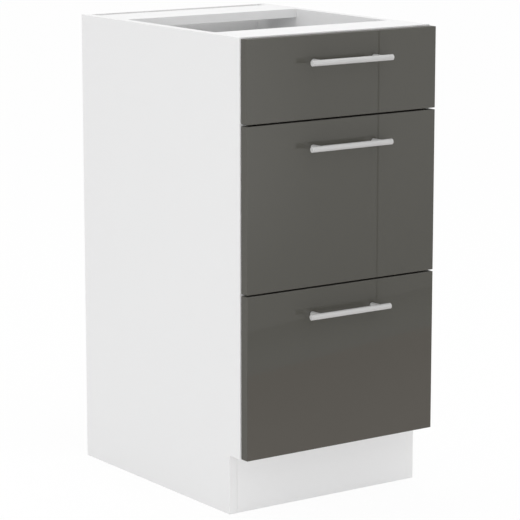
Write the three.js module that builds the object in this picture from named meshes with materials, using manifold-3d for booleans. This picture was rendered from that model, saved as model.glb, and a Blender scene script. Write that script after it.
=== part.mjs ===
// A kitchen base cabinet with three drawers, in millimetres. White laminated boards carry three
// steel-sided drawers, which roll on C-section runners behind gloss fronts with rail handles.
// +Z is up and -Y is the front. The origin is on the floor, under the middle of the whole
// cabinet with its handles.
import * as THREE from "three";
import { mergeVertices } from "three/addons/utils/BufferGeometryUtils.js";
import Module from "manifold-3d";

const wasm = await Module();
wasm.setup();

// ---------------------------------------------------------------- driving dimensions

// Carcass. Its own frame has the origin on the floor, in the plane of its front edges.
const CARCASS_WIDTH = 400;
const CARCASS_HEIGHT = 820;
const CARCASS_DEPTH = 500;
const BOARD = 16;
const TOE_SETBACK = 32;
const TOE_HEIGHT = 104;
const RAIL_DEPTH = 96;
const REAR_RAIL_GAP = 33;
const BACK_THICKNESS = 3;
const BACK_INSET = 1;
const BACK_TOP_DROP = 1;
const REBATE_DEPTH = 8;
const REBATE_AIR = 0.25;
const BOARD_EASE = 0.5;

// Drawer fronts, from the lowest up. The 2 mm at the top keep them clear of a worktop.
const FRONT_WIDTH = 397;
const FRONT_THICKNESS = 18;
const FRONT_STANDOFF = 1.5;
const FRONT_GAP = 3;
const LOWEST_FRONT_BOTTOM = 105;
const FRONT_EASE = 1;
const DRAWERS = [
  { name: "lower", frontHeight: 283, runnerLift: 30, sideHeight: 150 },
  { name: "middle", frontHeight: 283, runnerLift: 30, sideHeight: 150 },
  { name: "upper", frontHeight: 141, runnerLift: 7, sideHeight: 76 },
];

// Rail handle: a round bar on two posts.
const HANDLE_LENGTH = 177.5;
const HANDLE_RADIUS = 5;
const HANDLE_END_ROUND = 1.25;
const HANDLE_DROP = 44;
const HANDLE_STANDOFF = 25;
const POST_SPACING = 128;
const POST_RADIUS = 4.5;
const POST_EASE = 0.5;
const SADDLE_AIR = 0.3;

// Steel runner. Its section is drawn from the inner face of the side panel (u, inwards) and from
// the underside of its lower flange (z), and runs along the cabinet's depth.
const STEEL = 1.25;
const BEND_RADIUS = 1;
const RUNNER_HEIGHT = 26;
const RUNNER_START = 2;
const RUNNER_END = 448;
const LOWER_FLANGE = 11.5;
const UPPER_FLANGE = 9.5;
const TRACK_LIP = 3.5;
const SCREW_HOLE_RADIUS = 2.75;
const SYSTEM_HOLES = [69, 229, 421];

// Nylon rollers: one fixed at the front of each runner, one at the rear of each drawer side.
const ROLLER_OUTER_U = 2.5;
const ROLLER_WIDTH = 7;
const ROLLER_BORE = 3;
const FIXED_ROLLER = { radius: 12, y: 25, z: 15 };
const DRAWER_ROLLER = { radius: 11, y: 430, z: 12.5 };
const PIN_RADIUS = 2.75;
const PIN_HEAD_RADIUS = 4.25;
const PIN_HEAD = 0.5;
const PIN_AIR = 0.375;

// Drawer box.
const BOX_DEPTH = 450;
const WALL_U = 12.5;
const WALL_BOTTOM = 2;
const FLOOR_FLANGE = 20;
const TRACK_U = 1.5;
const TRACK_Z = 27.25;
const HEM_OVERHANG = 4.5;
const HEM_DROP = 6;
const BEAD_DEPTH = 2;
const BEAD_HEIGHT = 16;
const BEAD_SLOPE = 4;
const BEND_CLEARANCE = 1.5;
const BACK_BOARD_DROP = 8;
const BRACKET_PLATE = 26;
const BRACKET_LEG = 46;
const BRACKET_HEIGHT = 42;
const BRACKET_LIFT = 4;
const BRACKET_HOLE_RADIUS = 2.5;

// ---------------------------------------------------------------- derived places

const FRONT_REACH = FRONT_STANDOFF + FRONT_THICKNESS;
const TOTAL_DEPTH = CARCASS_DEPTH + FRONT_REACH + HANDLE_STANDOFF + HANDLE_RADIUS;
const CARCASS_FRONT_Y = TOTAL_DEPTH / 2 - CARCASS_DEPTH;
const INNER_HALF = CARCASS_WIDTH / 2 - BOARD;
const BACK_Y = CARCASS_DEPTH - BACK_INSET - BACK_THICKNESS;
const WALL_INNER_U = WALL_U + STEEL;
const BOX_HALF = INNER_HALF - WALL_INNER_U;
const BOX_FLOOR_Z = WALL_BOTTOM + STEEL;

// ---------------------------------------------------------------- materials

function finish(color, roughness, metalness) {
  return new THREE.MeshStandardMaterial({ color, roughness, metalness });
}

const WHITE_LAMINATE = finish(0xe9e9e9, 0.6, 0);
const HARDBOARD = finish(0xdcdad6, 0.75, 0);
const GREY_GLOSS = finish(0x5b5a56, 0.08, 0);
const SATIN_NICKEL = finish(0xcfcfcd, 0.35, 0.9);
const COATED_STEEL = finish(0xd8d9da, 0.45, 0.3);
const ZINC_STEEL = finish(0xb9bcc0, 0.35, 0.8);
const NYLON = finish(0xf0efe9, 0.5, 0);

// ---------------------------------------------------------------- geometry helpers

// A closed three.js geometry as a solid that can be joined and cut.
function solidOf(geometry) {
  const bare = geometry.clone();
  bare.deleteAttribute("normal");
  bare.deleteAttribute("uv");
  const merged = mergeVertices(bare, 1e-4);
  return new wasm.Manifold(
    new wasm.Mesh({
      numProp: 3,
      vertProperties: new Float32Array(merged.attributes.position.array),
      triVerts: new Uint32Array(merged.index.array),
    }),
  );
}

// The solid's faces as a flat-shaded three.js geometry.
function geometryOf(solid) {
  const mesh = solid.getMesh();
  const indexed = new THREE.BufferGeometry();
  indexed.setAttribute("position", new THREE.BufferAttribute(mesh.vertProperties, 3));
  indexed.setIndex(new THREE.BufferAttribute(mesh.triVerts, 1));
  const faces = indexed.toNonIndexed();
  faces.computeVertexNormals();
  return faces;
}

function outline(points) {
  return new THREE.Shape(points.map(([x, y]) => new THREE.Vector2(x, y)));
}

// A section run straight through a depth along Z.
function run(shape, depth) {
  return new THREE.ExtrudeGeometry(shape, { depth, curveSegments: 2, bevelEnabled: false });
}

// A section drawn in (y, z), run along X through the given length about the middle.
function alongX(shape, length) {
  const geometry = run(shape, length).translate(0, 0, -length / 2);
  return geometry.rotateX(Math.PI / 2).rotateZ(Math.PI / 2);
}

// A section drawn in (x, z), run along Y from start to end.
function alongY(shape, start, end) {
  return run(shape, end - start).rotateX(Math.PI / 2).translate(0, end, 0);
}

// A rectangle with its low corner at the origin and small rounded corners.
function easedRectangle(width, height, ease) {
  const shape = new THREE.Shape();
  shape.moveTo(ease, 0);
  shape.lineTo(width - ease, 0);
  shape.quadraticCurveTo(width, 0, width, ease);
  shape.lineTo(width, height - ease);
  shape.quadraticCurveTo(width, height, width - ease, height);
  shape.lineTo(ease, height);
  shape.quadraticCurveTo(0, height, 0, height - ease);
  shape.lineTo(0, ease);
  shape.quadraticCurveTo(0, 0, ease, 0);
  return shape;
}

// A plate from an outline, with every edge eased by the same amount; its thickness is along Z.
function easedPlate(shape, thickness, ease, steps) {
  const geometry = new THREE.ExtrudeGeometry(shape, {
    depth: thickness - 2 * ease,
    bevelEnabled: true,
    bevelThickness: ease,
    bevelSize: ease,
    bevelOffset: -ease,
    bevelSegments: steps,
  });
  return geometry.translate(0, 0, ease);
}

// A profile of [radius, height] points turned round the X axis, heights running along +X.
function turnedAboutX(profile, segments) {
  const points = profile.map(([radius, height]) => new THREE.Vector2(radius, height));
  return new THREE.LatheGeometry(points, segments).rotateZ(-Math.PI / 2);
}

// The same, turned round the Y axis with its heights running along -Y.
function turnedTowardsFront(profile, segments) {
  const points = profile.map(([radius, height]) => new THREE.Vector2(radius, height));
  return new THREE.LatheGeometry(points, segments).rotateX(Math.PI);
}

// Rounds the corners of an open path. The radius is the bend's inner one, so a corner that turns
// away from the sheet keeps it, and one that turns round the sheet has the thickness added.
function roundedPath(points, innerRadius, thickness) {
  const steps = 2;
  const path = [points[0]];
  for (let i = 1; i < points.length - 1; i++) {
    const [before, corner, after] = [points[i - 1], points[i], points[i + 1]];
    const into = before.clone().sub(corner).normalize();
    const out = after.clone().sub(corner).normalize();
    const towardsSheet = out.cross(into) > 0;
    const radius = innerRadius + (towardsSheet ? thickness : 0);
    const half = Math.acos(THREE.MathUtils.clamp(into.dot(out), -1, 1)) / 2;
    const reach = radius / Math.tan(half);
    const centre = into.clone().add(out).normalize();
    centre.multiplyScalar(radius / Math.sin(half)).add(corner);
    const start = into.clone().multiplyScalar(reach).add(corner);
    const sweep = (Math.PI - 2 * half) * (towardsSheet ? 1 : -1);
    for (let k = 0; k <= steps; k++) {
      path.push(start.clone().rotateAround(centre, (sweep * k) / steps));
    }
  }
  path.push(points.at(-1));
  return path;
}

// The section of a bent sheet: a path along one face, with the metal on the path's left.
function bentSheet(corners, thickness) {
  const points = corners.map(([x, y]) => new THREE.Vector2(x, y));
  const face = roundedPath(points, BEND_RADIUS, thickness);
  const leftOf = (a, b) => new THREE.Vector2(a.y - b.y, b.x - a.x).normalize();
  const other = face.map((point, i) => {
    const last = face.length - 1;
    const before = leftOf(face[Math.max(i - 1, 0)], face[Math.max(i, 1)]);
    const after = leftOf(face[Math.min(i, last - 1)], face[Math.min(i + 1, last)]);
    const mitre = before.clone().add(after);
    return mitre.multiplyScalar(thickness / (1 + before.dot(after))).add(point);
  });
  return new THREE.Shape([...face, ...other.reverse()]);
}

function box(x0, x1, y0, y1, z0, z1) {
  const geometry = new THREE.BoxGeometry(x1 - x0, y1 - y0, z1 - z0);
  return geometry.translate((x0 + x1) / 2, (y0 + y1) / 2, (z0 + z1) / 2);
}

// A plain round cutter through a sheet, along X at [y, z].
function drillX(radius, u, y, z) {
  const reach = 2 * STEEL;
  const profile = [[0, -reach], [radius, -reach], [radius, reach], [0, reach]];
  return turnedAboutX(profile, 10).translate(u, y, z);
}

// The same along Y at [x, z].
function drillY(radius, x, y, z) {
  const reach = 2 * STEEL;
  const profile = [[0, -reach], [radius, -reach], [radius, reach], [0, reach]];
  return turnedTowardsFront(profile, 10).translate(x, y, z);
}

// Joins and cuts a body with lists of geometries.
function shaped(body, joined, cut) {
  let solid = solidOf(body);
  for (const piece of joined) {
    solid = solid.add(solidOf(piece));
  }
  for (const piece of cut) {
    solid = solid.subtract(solidOf(piece));
  }
  return geometryOf(solid);
}

function named(name, geometry, material) {
  const mesh = new THREE.Mesh(geometry, material);
  mesh.name = name;
  return mesh;
}

// ---------------------------------------------------------------- carcass

// A side board with the toe notch cut out of its outline and a rebate along its rear edge, which
// takes the back. It stands with its outer face at x = 0 and grows inwards.
function sidePanel() {
  const shape = outline([
    [TOE_SETBACK, 0],
    [CARCASS_DEPTH, 0],
    [CARCASS_DEPTH, CARCASS_HEIGHT],
    [0, CARCASS_HEIGHT],
    [0, TOE_HEIGHT],
    [TOE_SETBACK, TOE_HEIGHT],
  ]);
  const board = easedPlate(shape, BOARD, BOARD_EASE, 1);
  board.rotateX(Math.PI / 2).rotateZ(Math.PI / 2);
  const rebate = box(
    BOARD - REBATE_DEPTH,
    BOARD + 1,
    BACK_Y,
    CARCASS_DEPTH + 1,
    -1,
    CARCASS_HEIGHT + 1,
  );
  return shaped(board, [], [rebate]);
}

// A board across the cabinet, between the side panels.
function crossBoard(depth, height) {
  return alongX(easedRectangle(depth, height, BOARD_EASE), 2 * INNER_HALF);
}

function buildCarcass() {
  const carcass = new THREE.Group();
  const side = sidePanel();

  const left = named("side_panel_left", side, WHITE_LAMINATE);
  left.position.x = -CARCASS_WIDTH / 2;
  const right = named("side_panel_right", side, WHITE_LAMINATE);
  right.position.x = CARCASS_WIDTH / 2;
  right.scale.x = -1;

  const bottom = named("bottom_panel", crossBoard(BACK_Y, BOARD), WHITE_LAMINATE);
  bottom.position.z = TOE_HEIGHT;

  const rail = crossBoard(RAIL_DEPTH, BOARD);
  const frontRail = named("front_rail", rail, WHITE_LAMINATE);
  frontRail.position.z = CARCASS_HEIGHT - BOARD;

  const rearRail = named("rear_rail", rail, WHITE_LAMINATE);
  rearRail.position.y = CARCASS_DEPTH - REAR_RAIL_GAP - RAIL_DEPTH;
  rearRail.position.z = CARCASS_HEIGHT - BOARD;

  const plinth = named("plinth_board", crossBoard(BOARD, TOE_HEIGHT), WHITE_LAMINATE);
  plinth.position.y = TOE_SETBACK;

  const half = INNER_HALF + REBATE_DEPTH - REBATE_AIR;
  const sheetTop = CARCASS_HEIGHT - BACK_TOP_DROP;
  const sheet = box(-half, half, 0, BACK_THICKNESS, TOE_HEIGHT, sheetTop);
  const back = named("back_panel", sheet, HARDBOARD);
  back.position.y = BACK_Y;

  carcass.add(left, right, bottom, frontRail, rearRail, plinth, back);
  return carcass;
}

// ---------------------------------------------------------------- runner mechanism

// A nylon wheel about X: a hub and a rim on a thinner web, centred on its own width.
function roller(radius) {
  const half = ROLLER_WIDTH / 2;
  const hub = ROLLER_BORE + 2.5;
  const rim = radius - 2;
  const web = half - 1.5;
  const ease = 0.5;
  const profile = [
    [ROLLER_BORE, -half],
    [hub, -half],
    [hub + ease, -web],
    [rim - ease, -web],
    [rim, -half],
    [radius - ease, -half],
    [radius, ease - half],
    [radius, half - ease],
    [radius - ease, half],
    [rim, half],
    [rim - ease, web],
    [hub + ease, web],
    [hub, half],
    [ROLLER_BORE, half],
    [ROLLER_BORE, -half],
  ];
  return turnedAboutX(profile, 16);
}

// A headed pin about X for a roller. It starts inside the steel at rootU and reaches towards
// headU, past the roller; a collar at its root keeps the roller off the steel.
function rollerPin(rootU, headU) {
  const away = Math.sign(headU - rootU);
  const near = away > 0 ? ROLLER_OUTER_U : ROLLER_OUTER_U + ROLLER_WIDTH;
  const far = away > 0 ? ROLLER_OUTER_U + ROLLER_WIDTH : ROLLER_OUTER_U;
  const stations = [
    [0, rootU],
    [PIN_HEAD_RADIUS, rootU],
    [PIN_HEAD_RADIUS, near - away * PIN_AIR],
    [PIN_RADIUS, near - away * PIN_AIR],
    [PIN_RADIUS, far + away * PIN_AIR],
    [PIN_HEAD_RADIUS, far + away * PIN_AIR],
    [PIN_HEAD_RADIUS, headU],
    [0, headU],
  ];
  return turnedAboutX(away > 0 ? stations : stations.reverse(), 12);
}

// The fixed runner: a C of bent steel with a raised lip on its track. Its upper flange stops
// short of the front roller, a tab closes the rear as a stop, and three holes take its screws.
function cabinetRunner() {
  const section = bentSheet(
    [
      [UPPER_FLANGE, RUNNER_HEIGHT],
      [0, RUNNER_HEIGHT],
      [0, 0],
      [LOWER_FLANGE, 0],
      [LOWER_FLANGE, TRACK_LIP],
    ],
    STEEL,
  );
  const channel = alongY(section, RUNNER_START, RUNNER_END);
  const headU = ROLLER_OUTER_U + ROLLER_WIDTH + PIN_AIR + PIN_HEAD;
  const pin = rollerPin(STEEL / 2, headU).translate(0, FIXED_ROLLER.y, FIXED_ROLLER.z);
  const stop = box(
    STEEL / 2,
    UPPER_FLANGE,
    RUNNER_END - STEEL,
    RUNNER_END,
    STEEL / 2,
    RUNNER_HEIGHT - STEEL / 2,
  );
  const openingEnd = FIXED_ROLLER.y + FIXED_ROLLER.radius + 3;
  const opening = box(
    ROLLER_OUTER_U - 0.5,
    LOWER_FLANGE,
    RUNNER_START - 1,
    openingEnd,
    RUNNER_HEIGHT - 4,
    RUNNER_HEIGHT + 1,
  );
  const holes = SYSTEM_HOLES.map((y) => drillX(SCREW_HOLE_RADIUS, 0, y, RUNNER_HEIGHT / 2));
  return shaped(channel, [pin, stop], [opening, ...holes]);
}

function buildRunners(drawer) {
  const runners = new THREE.Group();
  const runner = cabinetRunner();
  const wheel = roller(FIXED_ROLLER.radius);
  for (const hand of ["left", "right"]) {
    const side = new THREE.Group();
    const rail = named(`cabinet_runner_${drawer.name}_${hand}`, runner, ZINC_STEEL);
    const fixedRoller = named(`cabinet_roller_${drawer.name}_${hand}`, wheel, NYLON);
    fixedRoller.position.x = ROLLER_OUTER_U + ROLLER_WIDTH / 2;
    fixedRoller.position.y = FIXED_ROLLER.y;
    fixedRoller.position.z = FIXED_ROLLER.z;
    side.add(rail, fixedRoller);
    placeHand(side, hand);
    runners.add(side);
  }
  return runners;
}

// Puts a group that is drawn in the left side's (u, y, z) on its side of the cabinet.
function placeHand(group, hand) {
  const sign = hand === "left" ? 1 : -1;
  group.position.x = -sign * INNER_HALF;
  group.scale.x = sign;
}

// ---------------------------------------------------------------- drawers

// The steel drawer side: floor flange, wall with a pressed bead and a hem rolled outwards, and
// on its outside the flange that runs on the fixed roller, with the rear roller's pin.
function drawerSide(height) {
  const beadBottom = (TRACK_Z + height) / 2 - BEAD_HEIGHT / 2 + STEEL;
  const beadTop = beadBottom + BEAD_HEIGHT;
  const beadU = WALL_INNER_U - BEAD_DEPTH;
  const wall = bentSheet(
    [
      [WALL_U - HEM_OVERHANG + STEEL, height - HEM_DROP],
      [WALL_U - HEM_OVERHANG + STEEL, height - STEEL],
      [WALL_U, height - STEEL],
      [WALL_U, beadTop],
      [beadU - STEEL, beadTop - BEAD_SLOPE],
      [beadU - STEEL, beadBottom + BEAD_SLOPE],
      [WALL_U, beadBottom],
      [WALL_U, WALL_BOTTOM],
      [WALL_INNER_U + FLOOR_FLANGE, WALL_BOTTOM],
    ],
    STEEL,
  );
  const track = bentSheet(
    [
      [TRACK_U, TRACK_Z + TRACK_LIP],
      [TRACK_U, TRACK_Z],
      [WALL_U + STEEL / 2, TRACK_Z],
    ],
    STEEL,
  );
  const start = -FRONT_STANDOFF;
  const headU = ROLLER_OUTER_U - PIN_AIR - PIN_HEAD;
  const pin = rollerPin(WALL_U + STEEL / 2, headU);
  pin.translate(0, DRAWER_ROLLER.y, DRAWER_ROLLER.z);
  return shaped(alongY(wall, start, BOX_DEPTH), [alongY(track, start, BOX_DEPTH), pin], []);
}

// An angle of bent steel in the drawer's front corner, drilled for its screws.
function frontBracket() {
  const section = bentSheet(
    [
      [0, BRACKET_LEG],
      [0, 0],
      [BRACKET_PLATE, 0],
    ],
    STEEL,
  );
  const angle = run(section, BRACKET_HEIGHT);
  const levels = [BRACKET_HEIGHT / 4, (BRACKET_HEIGHT * 3) / 4];
  const holes = levels.flatMap((z) => [
    drillY(BRACKET_HOLE_RADIUS, BRACKET_PLATE * 0.6, 0, z),
    drillX(BRACKET_HOLE_RADIUS, 0, BRACKET_LEG * 0.65, z),
  ]);
  return shaped(angle, [], holes);
}

// A gloss front with all its edges eased, its back face at y = 0 and its underside at z = 0.
function frontPanel(height) {
  const half = FRONT_WIDTH / 2;
  const shape = outline([
    [-half, 0],
    [half, 0],
    [half, height],
    [-half, height],
  ]);
  return easedPlate(shape, FRONT_THICKNESS, FRONT_EASE, 2).rotateX(Math.PI / 2);
}

// The bar about X, centred, with rounded ends.
function handleBar() {
  const half = HANDLE_LENGTH / 2;
  const round = HANDLE_END_ROUND;
  const rings = [0, 1, 2].map((i) => {
    const angle = (i * Math.PI) / 4;
    const radius = HANDLE_RADIUS - round * (1 - Math.sin(angle));
    return [radius, half - round * (1 - Math.cos(angle))];
  });
  const lowEnd = rings.map(([radius, height]) => [radius, -height]);
  return turnedAboutX([[0, -half], ...lowEnd, ...rings.reverse(), [0, half]], 20);
}

// A post from the front's face at y = 0 towards -Y, its end hollowed to seat round the bar.
function handlePost() {
  const profile = [
    [0, 0],
    [POST_RADIUS - POST_EASE, 0],
    [POST_RADIUS, POST_EASE],
    [POST_RADIUS, HANDLE_STANDOFF],
    [0, HANDLE_STANDOFF],
  ];
  const post = turnedTowardsFront(profile, 18);
  const radius = HANDLE_RADIUS + SADDLE_AIR;
  const reach = 2 * POST_RADIUS;
  const bar = turnedAboutX([[0, -reach], [radius, -reach], [radius, reach], [0, reach]], 40);
  bar.translate(0, -HANDLE_STANDOFF, 0);
  return shaped(post, [], [bar]);
}

function buildHandle(drawer) {
  const handle = new THREE.Group();
  const bar = named(`handle_bar_${drawer.name}`, handleBar(), SATIN_NICKEL);
  bar.position.y = -HANDLE_STANDOFF;
  handle.add(bar);
  const shape = handlePost();
  for (const [hand, sign] of [["left", -1], ["right", 1]]) {
    const post = named(`handle_post_${drawer.name}_${hand}`, shape, SATIN_NICKEL);
    post.position.x = (sign * POST_SPACING) / 2;
    handle.add(post);
  }
  return handle;
}

// One drawer in the frame of its runners: z = 0 is the underside of their lower flanges.
function buildDrawer(drawer) {
  const body = new THREE.Group();

  const front = named(`drawer_front_${drawer.name}`, frontPanel(drawer.frontHeight), GREY_GLOSS);
  front.position.y = -FRONT_STANDOFF;
  front.position.z = -drawer.runnerLift;

  const handle = buildHandle(drawer);
  handle.position.y = -FRONT_REACH;
  handle.position.z = drawer.frontHeight - drawer.runnerLift - HANDLE_DROP;

  const floorDepth = BOX_DEPTH - BOARD + FRONT_STANDOFF;
  const floorSection = easedRectangle(floorDepth, BOARD, BOARD_EASE);
  const floorBoard = alongX(floorSection, 2 * (BOX_HALF - BEND_CLEARANCE));
  const floor = named(`drawer_floor_${drawer.name}`, floorBoard, WHITE_LAMINATE);
  floor.position.y = -FRONT_STANDOFF;
  floor.position.z = BOX_FLOOR_Z;

  const backBottom = BOX_FLOOR_Z + BEND_CLEARANCE;
  const backHeight = drawer.sideHeight - BACK_BOARD_DROP - backBottom;
  const backBoard = alongX(easedRectangle(BOARD, backHeight, BOARD_EASE), 2 * BOX_HALF);
  const back = named(`drawer_back_${drawer.name}`, backBoard, WHITE_LAMINATE);
  back.position.y = BOX_DEPTH - BOARD;
  back.position.z = backBottom;
  body.add(front, handle, floor, back);

  const wall = drawerSide(drawer.sideHeight);
  const wheel = roller(DRAWER_ROLLER.radius);
  const bracket = frontBracket();
  for (const hand of ["left", "right"]) {
    const side = new THREE.Group();
    const steel = named(`drawer_side_${drawer.name}_${hand}`, wall, COATED_STEEL);
    const rearRoller = named(`drawer_roller_${drawer.name}_${hand}`, wheel, NYLON);
    rearRoller.position.x = ROLLER_OUTER_U + ROLLER_WIDTH / 2;
    rearRoller.position.y = DRAWER_ROLLER.y;
    rearRoller.position.z = DRAWER_ROLLER.z;
    const angle = named(`front_bracket_${drawer.name}_${hand}`, bracket, ZINC_STEEL);
    angle.position.x = WALL_INNER_U;
    angle.position.y = -FRONT_STANDOFF;
    angle.position.z = BOX_FLOOR_Z + BOARD + BRACKET_LIFT;
    side.add(steel, rearRoller, angle);
    placeHand(side, hand);
    body.add(side);
  }
  return body;
}

// ---------------------------------------------------------------- the cabinet

const cabinet = new THREE.Group();
cabinet.position.y = CARCASS_FRONT_Y;
cabinet.add(buildCarcass());

let frontBottom = LOWEST_FRONT_BOTTOM;
for (const drawer of DRAWERS) {
  const runners = buildRunners(drawer);
  const body = buildDrawer(drawer);
  for (const group of [runners, body]) {
    group.position.z = frontBottom + drawer.runnerLift;
    cabinet.add(group);
  }
  frontBottom += drawer.frontHeight + FRONT_GAP;
}

export default cabinet;
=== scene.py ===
"""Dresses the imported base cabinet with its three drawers, and stages it for its pictures.

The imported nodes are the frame: metres, +Z up, the front towards -Y, the origin on the floor.
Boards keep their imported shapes. Turned parts, fronts and bent steel are made again with finer
edges, and the fittings that hold the cabinet together are added where the boards meet. The
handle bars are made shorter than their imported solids, which are longer than the real ones.
"""

import logging
import math
from dataclasses import dataclass
from enum import Enum
from typing import Any, Optional, Sequence, Union

import bmesh
import bpy
from mathutils import Matrix, Vector


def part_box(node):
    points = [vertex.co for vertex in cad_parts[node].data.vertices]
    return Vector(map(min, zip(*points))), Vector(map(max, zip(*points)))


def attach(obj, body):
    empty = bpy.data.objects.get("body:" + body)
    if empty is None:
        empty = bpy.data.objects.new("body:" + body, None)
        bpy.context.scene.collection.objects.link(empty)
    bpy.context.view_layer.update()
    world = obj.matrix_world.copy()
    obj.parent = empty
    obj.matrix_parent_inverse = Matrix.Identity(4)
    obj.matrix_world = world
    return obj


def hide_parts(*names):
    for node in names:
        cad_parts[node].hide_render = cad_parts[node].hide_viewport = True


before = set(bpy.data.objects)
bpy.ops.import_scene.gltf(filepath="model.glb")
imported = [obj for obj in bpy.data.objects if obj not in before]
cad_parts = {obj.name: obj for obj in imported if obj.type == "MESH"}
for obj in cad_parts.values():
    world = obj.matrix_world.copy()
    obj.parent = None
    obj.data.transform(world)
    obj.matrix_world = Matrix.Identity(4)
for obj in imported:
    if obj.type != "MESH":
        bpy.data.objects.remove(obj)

LOG = logging.getLogger("cabinet")
MM = 0.001
SHEET = 1.25 * MM  # the steel of the runners, drawer sides and brackets

# A Term goes into maths and a Feed into any socket. Inputs say which socket gets which feed.
Point = tuple[float, float, float]
Line = tuple[Point, Point]
Colour = tuple[float, float, float]
Scale = Union[float, Point]
Outline = list[tuple[float, float]]
Term = Union["Signal", int, float]
Feed = Union["Signal", bpy.types.NodeSocket, int, float, Sequence[float]]
Inputs = dict[Union[str, int], Feed]


class Axis(Enum):
    """An axis of the row frame, by its place in a vector."""

    X = 0
    Y = 1
    Z = 2

    @property
    def direction(self) -> Vector:
        """The unit vector along the axis."""
        return Vector([1.0 if place == self.value else 0.0 for place in range(3)])


class Hand(Enum):
    """The two sides of the cabinet, as seen from its front."""

    LEFT = "left"
    RIGHT = "right"

    @property
    def inwards(self) -> float:
        """The sign along X that points to the middle of the cabinet."""
        return 1.0 if self is Hand.LEFT else -1.0

    def outer(self, low: Vector, high: Vector) -> float:
        """The place along X of a box's face on this side."""
        return low.x if self is Hand.LEFT else high.x


class Level(Enum):
    """The three drawers, from the floor up."""

    LOWER = "lower"
    MIDDLE = "middle"
    UPPER = "upper"

    @property
    def body(self) -> str:
        """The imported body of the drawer."""
        return "drawer_" + self.value

    def node(self, kind: str, hand: Optional[Hand] = None) -> str:
        """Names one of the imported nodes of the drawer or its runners.

        Args:
            kind: what the node is.
            hand: its side, where there is one on each.

        Returns:
            The node's name.
        """
        name = f"{kind}_{self.value}"
        return f"{name}_{hand.value}" if hand else name


class Slot(Enum):
    """The record's material slots."""

    LAMINATE = "white_laminate"
    HARDBOARD = "hardboard"
    GLOSS = "gloss_front"
    NICKEL = "satin_nickel"
    COATED = "coated_steel"
    ZINC = "zinc_steel"
    NYLON = "nylon"


# ------------------------------------------------------------------ shader language


class Signal:
    """A number that changes over a surface, held as the socket that carries it."""

    def __init__(self, tree: "ShaderTree", socket: bpy.types.NodeSocket) -> None:
        """Keeps the socket and the tree it is in."""
        self.tree = tree
        self.socket = socket

    def _maths(self, operation: str, *terms: Term) -> "Signal":
        """Adds one Math node.

        Args:
            operation: the node's operation.
            terms: what goes into its sockets, in order.

        Returns:
            The node's result.
        """
        node = self.tree.node("ShaderNodeMath", dict(enumerate(terms)), operation=operation)
        return Signal(self.tree, node.outputs[0])

    def __add__(self, other: Term) -> "Signal":
        """self + other."""
        return self._maths("ADD", self, other)

    def __radd__(self, other: Term) -> "Signal":
        """other + self."""
        return self._maths("ADD", other, self)

    def __sub__(self, other: Term) -> "Signal":
        """self - other."""
        return self._maths("SUBTRACT", self, other)

    def __rsub__(self, other: Term) -> "Signal":
        """other - self."""
        return self._maths("SUBTRACT", other, self)

    def __mul__(self, other: Term) -> "Signal":
        """self * other."""
        return self._maths("MULTIPLY", self, other)

    def __rmul__(self, other: Term) -> "Signal":
        """other * self."""
        return self._maths("MULTIPLY", other, self)

    def __abs__(self) -> "Signal":
        """The value without its sign."""
        return self._maths("ABSOLUTE", self)

    def larger(self, other: Term) -> "Signal":
        """The larger of the two values."""
        return self._maths("MAXIMUM", self, other)

    def rise(self, start: float, end: float) -> "Signal":
        """Turns the value into a smooth step.

        Args:
            start: where the step is 0.
            end: where it is 1; it may lie below start.

        Returns:
            The step, from 0 to 1.
        """
        low, high = sorted((start, end))
        inputs = {"Value": self, "From Min": low, "From Max": high}
        node = self.tree.node("ShaderNodeMapRange", inputs, interpolation_type="SMOOTHSTEP")
        step = Signal(self.tree, node.outputs["Result"])
        return step if start < end else 1 - step


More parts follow.
